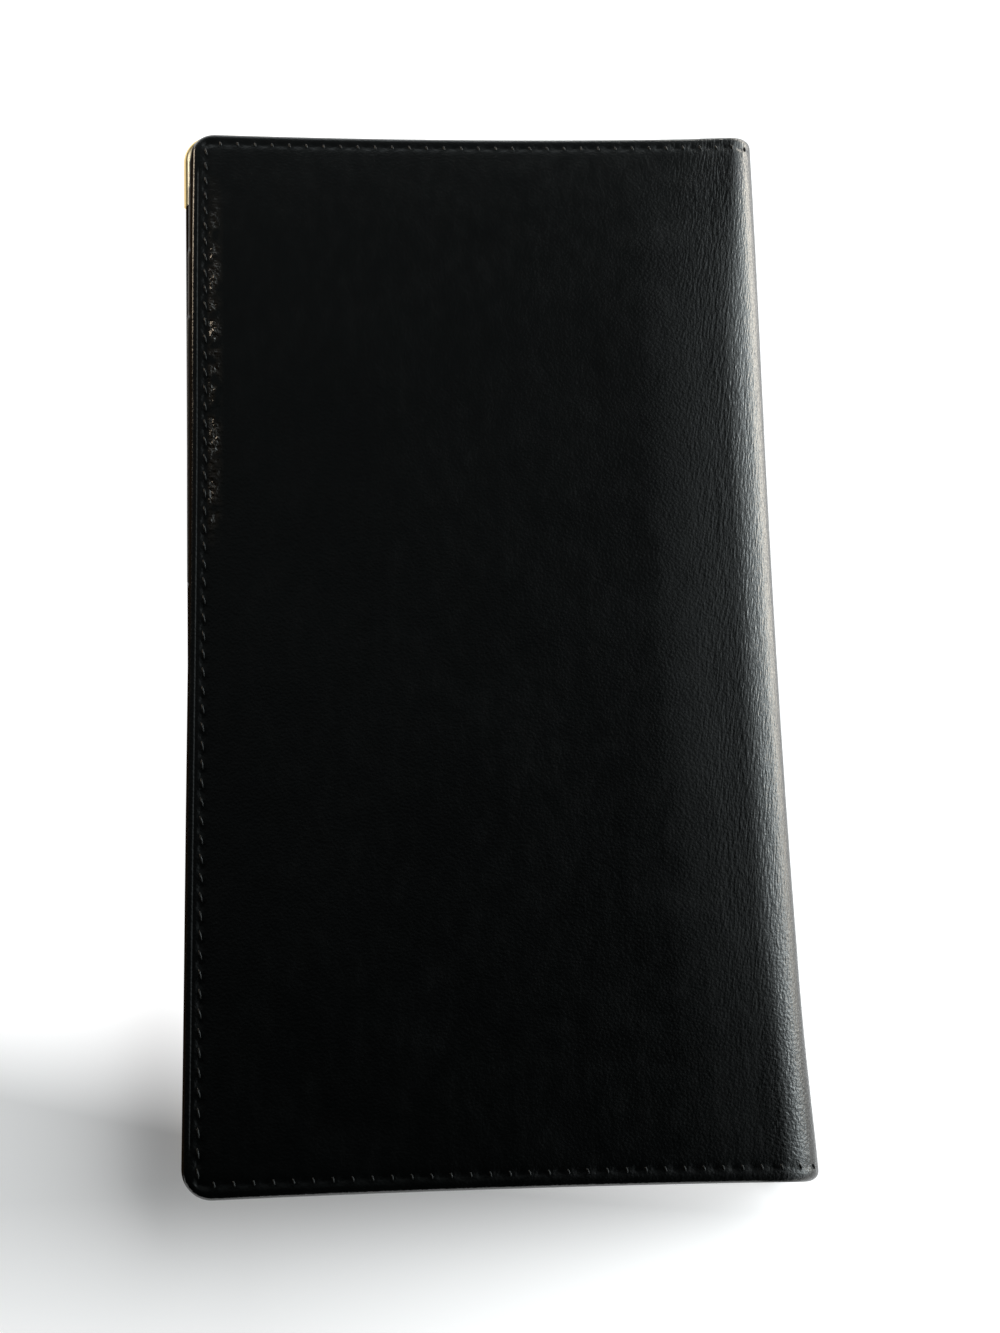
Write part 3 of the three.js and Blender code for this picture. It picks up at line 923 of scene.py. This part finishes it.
def make_welt(context, side, bank, run):
    """A folded strip that closes the slots at one side, its stacked layers showing on its flanks."""
    node = f"{side}_{bank}_{run}_welt"
    low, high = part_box(node)
    rim, layer = 0.35 * MM, 1.3 * MM
    us = spaced(rim, high.x - low.x - rim, 0.25 * MM, 0.4 * MM, MM)
    vs = spaced(rim, high.y - low.y - rim, 0.25 * MM, 0.5 * MM, 2 * MM)
    full = STACK_TOP - PANEL_TOP
    rings = [(rim * math.sin(t), rim * (1 - math.cos(t))) for t in np.linspace(0, math.pi / 2, 5)[1:]]
    flank = len(rings)
    rings += [(rim, d) for d in np.linspace(rim, full, 14)[1:]]

    def place(u, v, depth, ring):
        y = low.y + v
        top = stack_height(side, bank, y)
        share = np.clip((depth - rim) / (full - rim), 0, 1)
        drop = np.where(ring > flank, rim + share * (top - PANEL_TOP - rim), depth)
        groove = np.where(ring > flank, 0.1 * MM * np.abs(np.cos(math.pi * (top - drop) / layer)) ** 6, 0)
        middle = (high.x - low.x) / 2
        x = low.x + u - np.sign(u - middle) * groove
        crown = 0.08 * MM * (1 - arch(np.clip(u / (2 * middle), 0, 1)))
        return on_slots(side, x, y, top - drop - np.where(ring == 0, crown, crown * (1 - share)))

    square = 0.3 * MM
    tip = 1.6 * MM if (bank, run) == ("tail", "outer") else square
    piece = leather_sheet(f"{node}_strip", us, vs, ((tip, square), (square, square)), rings, place)
    finish_inner(context, piece, side, node)


def make_foot_welt(context, side, bank):
    """The strip that the slots of a bank stand on."""
    node = f"{side}_{bank}_foot_welt"
    radii = square_radii(0.3 * MM, 0.3 * MM)
    piece = slab(f"{node}_strip", node, side, radii, 0.35 * MM)
    finish_inner(context, piece, side, node)


def stitch_row(context, name, start, end, lay, length, slant):
    """Stitches along one run: one is modelled, repeated with an array and laid along the seam."""
    radius = context.scene.organizer_sizes.thread_radius
    count = run_count(start, end)
    pitch = (end - start) / count
    deselect()
    bpy.ops.mesh.primitive_uv_sphere_add(segments=8, ring_count=7, radius=1, rotation=(0, math.pi / 2, 0))
    piece = bpy.context.object
    piece.name = piece.data.name = name
    bpy.ops.object.transform_apply(location=False, rotation=True, scale=False)
    x, y, z = points_of(piece.data).T
    across = np.sign(x) * np.abs(x) ** 0.8
    half = length / 2
    sag = 1.3 * radius * np.abs(x) ** 3
    set_points(piece.data, np.stack([across * half, y * radius, z * radius * 0.85 - sag], 1))
    set_flat_map(piece.data, across * half, y * radius + z * radius)
    repeat = piece.modifiers.new("Repeat", "ARRAY")
    repeat.count = count
    repeat.use_relative_offset = False
    repeat.use_constant_offset = True
    repeat.constant_offset_displace = (pitch, 0, 0)
    bpy.ops.object.modifier_apply(modifier=repeat.name)
    x, y, z = points_of(piece.data).T
    number = np.clip(np.rint(x / pitch), 0, count - 1)
    uneven = 0.15 * cloud(number, number * 0, 1.7, 1, 6.4)
    slant = slant + uneven
    local = x - number * pitch
    middle = start + (number + 0.5) * pitch
    along = middle + local * np.cos(slant) - y * np.sin(slant)
    off = local * np.sin(slant) + y * np.cos(slant)
    set_points(piece.data, lay(along, off, z * (1 + uneven), middle))
    finish_piece(piece, waxed_thread(context))
    edit_all(piece, bpy.ops.mesh.normals_make_consistent, inside=False)
    return piece


def make_seam(context, side, run):
    """One stitched run of a leaf, seen from outside."""
    sizes = context.scene.organizer_sizes
    way, line, start, end = seam_runs(side)[run]

    def lay(along, off, height, middle):
        u, v = (along, line + off) if way == "u" else (line - off, along)
        level = np.full_like(middle, line)
        hole = (middle, level) if way == "u" else (level, middle)
        return on_cover(side, u, v, seam_relief(side, *hole) - 0.09 * MM - height)

    style = (sizes.stitch_length, sizes.stitch_slant)
    if way == "u":
        style = (sizes.end_stitch_length, sizes.end_stitch_slant)
    piece = stitch_row(context, f"{side}_{run}_stitches", start, end, lay, *style)
    if way == "u":
        bend_with_fold(piece, side)
    else:
        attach(piece, LEAF_BODY[side])
    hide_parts(f"{side}_{run}_thread")


def inner_height(side, y):
    """Height of what the seam along the free edge sews through, on the slots' side."""
    height = np.full_like(y, PANEL_TOP)
    for bank in BANKS:
        low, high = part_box(f"{side}_{bank}_outer_welt")
        height = np.where((y > low.y) & (y < high.y), stack_height(side, bank, y), height)
    return height


def inner_runs(side):
    """The stitched runs on the slots' side: which way they go, where, from where to where, and how high."""
    sizes = bpy.context.scene.organizer_sizes
    start = seam_runs(side)["edge"][2]
    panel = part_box(f"{side}_inner_panel")
    head = TAIL + LENGTH
    edge = EDGE[side]

    def level(height):
        return lambda along: np.full_like(along, height)

    runs = {
        "edge": ("y", edge + sizes.stitch_inset, TAIL + start, head - start, lambda y: inner_height(side, y)),
        "head": ("x", head - sizes.end_inset, edge + start, panel[1].x - MM, level(PANEL_TOP)),
    }
    for bank in BANKS:
        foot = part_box(f"{side}_{bank}_foot_welt")
        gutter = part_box(f"{side}_{bank}_gutter_welt")
        line = TAIL + sizes.end_inset if bank == "tail" else (foot[0].y + foot[1].y) / 2
        first = edge + start if bank == "tail" else foot[0].x
        runs[f"{bank}_foot"] = ("x", line, first, foot[1].x, level(STACK_TOP))
        middle = (gutter[0].x + gutter[1].x) / 2
        runs[f"{bank}_gutter"] = (
            "y", middle, gutter[0].y + MM, gutter[1].y - MM, lambda y, bank=bank: stack_height(side, bank, y))
    return runs


def make_inner_seam(context, side, run):
    """One stitched run on the slots' side, at the height of what it sews through."""
    sizes = context.scene.organizer_sizes
    way, line, start, end, height = inner_runs(side)[run]

    def lay(along, off, lift, middle):
        x, y = (along, line + off) if way == "x" else (line - off, along)
        return on_slots(side, x, y, height(along) + lift + 0.02 * MM)

    name = f"{side}_{run}_inner_stitches"
    piece = stitch_row(context, name, start, end, lay, sizes.stitch_length, sizes.stitch_slant)
    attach(piece, LEAF_BODY[side])


def make_corner(context, side, end):
    """A gilt corner wrapped round the leaf's edge, its inner edges hollow."""
    sizes = context.scene.organizer_sizes
    leg, radius = sizes.corner_leg, sizes.corner_radius
    tip, inset, proud, skin, lip = 1.3 * MM, 0.95 * MM, 0.3 * MM, 0.06 * MM, 0.2 * MM
    straight, arc = leg - radius, radius * math.pi / 2
    share = np.linspace(0, 1, 49)
    run = share * (2 * straight + arc)
    turn = np.clip((run - straight) / arc, 0, 1) * math.pi / 2
    border_u = np.where(run < straight, leg - run, radius - radius * np.sin(turn))
    border_v = np.where(run < straight + arc, radius - radius * np.cos(turn), radius + run - straight - arc)
    out_u, out_v = -np.sin(turn), -np.cos(turn)
    hollow = 0.38 * leg
    mix = np.array([(1 - share) ** 2, 2 * share * (1 - share), share ** 2])
    hollow_u = mix.T @ np.array([leg, hollow, tip])
    hollow_v = mix.T @ np.array([tip, hollow, leg])

    back = LEAF_EDGE_HEIGHT
    middle = back / 2
    profile = [(1, 0, lip), (1, 0, 0.0), (0.985, 0, -0.75 * skin)]
    profile += [(m, 0, -skin) for m in (0.9, 0.7, 0.5, 0.3, 0.12)]
    for t in np.linspace(0, math.pi, 15):
        profile.append((0, (inset + proud) * math.sin(t), middle - (middle + skin) * math.cos(t)))
    profile += [(m, 0, back + skin) for m in (0.12, 0.5, 0.9)]
    profile += [(0.985, 0, back + 0.75 * skin), (1, 0, back), (1, 0, back - lip)]
    profile = np.array(profile)
    piece, column, row = grid_piece(f"{side}_{end}_corner_gilt", len(profile), len(share) + 2)
    spot = np.clip(row - 1, 0, len(share) - 1)
    capped = (row == 0) | (row == len(share) + 1)
    toward, outward, depth = profile[column].T
    base_u, base_v = border_u[spot] - out_u[spot] * inset, border_v[spot] - out_v[spot] * inset
    outward = np.where(capped, outward - proud, outward)
    depth = np.where(capped, depth + proud * np.sign(middle - depth), depth)
    u = base_u + toward * (hollow_u[spot] - base_u) + out_u[spot] * outward
    v = base_v + toward * (hollow_v[spot] - base_v) + out_v[spot] * outward
    v = v if end == "tail" else LENGTH - v
    points = on_cover(side, u, v, depth)
    set_points(piece.data, points)
    set_flat_map(piece.data, u, v)
    face_away(piece, on_cover(side, u, v, np.full_like(u, middle)), points)
    finish_piece(piece, gilt_metal(context), 50)
    fix_to_leaf(piece, side, f"{side}_{end}_corner")


class ORGANIZER_OT_covers(bpy.types.Operator):
    """Makes the cover leather of both leaves and of the fold."""

    bl_idname = "organizer.covers"
    bl_label = "Cover Leather"

    def execute(self, context):
        for side in SIDES:
            make_cover(context, side)
        return {"FINISHED"}


class ORGANIZER_OT_linings(bpy.types.Operator):
    """Makes the lining cloth and the boards inside the leaves."""

    bl_idname = "organizer.linings"
    bl_label = "Linings and Boards"

    def execute(self, context):
        for side in SIDES:
            make_lining(context, side)
            make_board(context, side)
        return {"FINISHED"}


class ORGANIZER_OT_slots(bpy.types.Operator):
    """Makes the inner panels and the card slots with their welts."""

    bl_idname = "organizer.slots"
    bl_label = "Card Slots"

    def execute(self, context):
        for side in SIDES:
            make_panel(context, side)
            for bank in BANKS:
                for slot in SLOTS:
                    make_pocket(context, side, bank, slot)
                make_foot_welt(context, side, bank)
                for run in ("outer", "gutter"):
                    make_welt(context, side, bank, run)
        return {"FINISHED"}


class ORGANIZER_OT_seams(bpy.types.Operator):
    """Sews the leaves: the seam outside, and the rows that show on the slots' side."""

    bl_idname = "organizer.seams"
    bl_label = "Seams"

    def execute(self, context):
        for side in SIDES:
            for run in ("head", "edge", "tail"):
                make_seam(context, side, run)
            for run in inner_runs(side):
                make_inner_seam(context, side, run)
        return {"FINISHED"}


class ORGANIZER_OT_corners(bpy.types.Operator):
    """Makes the gilt corners of the back leaf."""

    bl_idname = "organizer.corners"
    bl_label = "Gilt Corners"

    def execute(self, context):
        for end in BANKS:
            make_corner(context, "back", end)
        return {"FINISHED"}


def area_light(name, place, aim, size, power, colour, lit):
    """A rectangular lamp whose light is kept to some of the pieces."""
    light = bpy.data.lights.new(name, "AREA")
    light.shape = "RECTANGLE"
    light.size, light.size_y = size
    light.energy = power
    light.color = colour
    lamp = bpy.data.objects.new(name, light)
    bpy.context.scene.collection.objects.link(lamp)
    lamp.location = place
    lamp.rotation_euler = (Vector(aim) - Vector(place)).to_track_quat("-Z", "Y").to_euler()
    lamp.visible_camera = False
    receivers = bpy.data.collections.new(f"{name}_receivers")
    for piece in lit:
        receivers.objects.link(piece)
    lamp.light_linking.receiver_collection = receivers


def floor_material(studio):
    """A pale floor that gives off more light towards the upper right and is darker at the left: all its glow
    is painted light, a warm painted glow beside the fold makes the fold's highlight, and at the lower left
    its weak glow and darkened colour paint the shadow.
    """

    def dress(tree, shader):
        geometry = add_node(tree, "ShaderNodeNewGeometry")
        place = add_node(tree, "ShaderNodeSeparateXYZ", Vector=geometry.outputs["Position"])
        x, y = place.outputs["X"], place.outputs["Y"]
        # Floor colour darkened towards the left: painted shade
        tone = shades(tree, ramp(tree, x, 0, 1, -0.04, 0.03), studio.floor_colour, 0.64, 1)
        rise = plus(tree, times(tree, x, 0.227), plus(tree, y, 0.0992))
        below = at_least(tree, sums(tree, "SUBTRACT", -0.0905, y), 0)
        beside = sums(tree, "POWER", at_least(tree, plus(tree, x, 0.03), 0), 2)
        # Least glow allowed: lowest at the left, rising below the tail and towards the right, so that the
        # painted shadow at the lower left fades out
        painted_shadow_fade = plus(tree, plus(tree, times(tree, below, 10), times(tree, beside, 35)), 0.25)
        glow = at_least(tree, times(tree, rise, studio.floor_glow), painted_shadow_fade)
        # The painted glow is held lower on the floor next to the fold
        near_fold = ramp(tree, x, 1.0, 0.4, 0.03, 0.05)
        right = ramp(tree, x, 0, 1, 0.056, 0.09, "SMOOTHSTEP")
        headward = times(tree, at_least(tree, plus(tree, y, 0.08), 0), studio.floor_side)
        # Warm painted glow beside the fold, rising towards the head, which the fold reflects as its highlight
        painted_glow_beside_fold = times(tree, right, at_most(tree, headward, 9))
        set_inputs(tree, shader, Specular_IOR_Level=0.1, Base_Color=tone,
                   Emission_Strength=plus(tree, at_most(tree, glow, near_fold), painted_glow_beside_fold),
                   Emission_Color=blend_colours(tree, right, WHITE, WARM_WHITE))

    return make_material("pale_floor", 0.9, studio.floor_colour, dress)


def light_surroundings(context, studio):
    """Soft surroundings: dark overhead, lighter past the head and brightest low at the fold's side."""
    world = context.scene.world or bpy.data.worlds.new("studio")
    context.scene.world = world
    world.use_nodes = True
    tree = world.node_tree
    sky = add_node(tree, "ShaderNodeTexCoord").outputs["Generated"]
    way = add_node(tree, "ShaderNodeSeparateXYZ", Vector=sky)
    right = at_least(tree, way.outputs["X"], 0)
    headward = at_least(tree, way.outputs["Y"], 0)
    side = times(tree, at_least(tree, sums(tree, "SUBTRACT", right, 0.22), 0), studio.side_light)
    side = times(tree, side, plus(tree, times(tree, headward, 1.8), 0.45))
    low = times(tree, sums(tree, "POWER", right, 12), studio.low_light)
    low = times(tree, low, plus(tree, times(tree, headward, 2.4), 0.15))
    head = at_most(tree, times(tree, headward, studio.head_light), 0.06)
    head = plus(tree, head, times(tree, sums(tree, "POWER", headward, 16), studio.head_low_light))
    total = plus(tree, plus(tree, side, low), plus(tree, head, studio.dim_light))
    set_inputs(tree, tree.nodes["Background"], Color=SKY_COLOUR, Strength=total)


class ORGANIZER_OT_stage(bpy.types.Operator):
    """Sets the floor, the lights and the camera."""

    bl_idname = "organizer.stage"
    bl_label = "Stage"

    def execute(self, context):
        studio = context.scene.organizer_studio
        meshes = [each for each in context.scene.objects if each.type == "MESH"]
        gilt = [each for each in meshes if each.name.endswith("_gilt")]
        others = [each for each in meshes if each not in gilt]
        deselect()
        bpy.ops.mesh.primitive_plane_add(size=6, location=(0, 0, -0.02 * MM))
        floor = context.object
        floor.name = floor.data.name = "floor"
        bpy.ops.object.transform_apply(location=True, rotation=False, scale=False)
        floor.data.materials.append(floor_material(studio))

        area_light("floor_light", (1.98, 1.05, 1.1), (0, 0, 0), (3.2, 3.2),
                   studio.floor_power, (1, 1, 1), [floor])
        area_light("warm", (-0.53, 0.43, 0.14), (-0.055, 0.06, 0.01), (0.3, 0.12),
                   studio.warm_power, (1, 0.82, 0.62), others)
        area_light("gilt_light", (-0.29, 0.32, 0.375), (-0.05, 0.09, 0), (0.08, 0.3),
                   studio.gilt_power, (0.5, 0.6, 1), gilt)
        light_surroundings(context, studio)

        view = bpy.data.cameras.new("camera")
        view.lens = studio.camera_lens
        view.sensor_width = 36
        view.clip_start = 0.01
        camera = bpy.data.objects.new("camera", view)
        context.scene.collection.objects.link(camera)
        camera.location = studio.camera_place
        camera.rotation_euler = studio.camera_turn
        context.scene.camera = camera
        context.scene.view_settings.view_transform = "Standard"
        return {"FINISHED"}


class ORGANIZER_PT_panel(bpy.types.Panel):
    """Lists the pieces of the organizer and what a user can change."""

    bl_idname = "ORGANIZER_PT_panel"
    bl_label = "Card Organizer"
    bl_space_type = "VIEW_3D"
    bl_region_type = "UI"
    bl_category = "Organizer"

    def draw(self, context):
        scene = context.scene
        for operator in OPERATORS:
            self.layout.operator(operator.bl_idname)
        for group in (scene.organizer_sizes, scene.organizer_finish, scene.organizer_studio):
            box = self.layout.box()
            for name in group.__annotations__:
                box.prop(group, name)


OPERATORS = (
    ORGANIZER_OT_covers,
    ORGANIZER_OT_linings,
    ORGANIZER_OT_slots,
    ORGANIZER_OT_seams,
    ORGANIZER_OT_corners,
    ORGANIZER_OT_stage,
)
CLASSES = (OrganizerSizes, OrganizerFinish, OrganizerStudio) + OPERATORS + (ORGANIZER_PT_panel,)


def register():
    for each in CLASSES:
        bpy.utils.register_class(each)
    bpy.types.Scene.organizer_sizes = PointerProperty(type=OrganizerSizes)
    bpy.types.Scene.organizer_finish = PointerProperty(type=OrganizerFinish)
    bpy.types.Scene.organizer_studio = PointerProperty(type=OrganizerStudio)


def unregister():
    del bpy.types.Scene.organizer_studio
    del bpy.types.Scene.organizer_finish
    del bpy.types.Scene.organizer_sizes
    for each in reversed(CLASSES):
        bpy.utils.unregister_class(each)


def main():
    register()
    bpy.ops.organizer.covers()
    bpy.ops.organizer.linings()
    bpy.ops.organizer.slots()
    bpy.ops.organizer.seams()
    bpy.ops.organizer.corners()
    bpy.ops.organizer.stage()


if __name__ == "__main__":
    main()
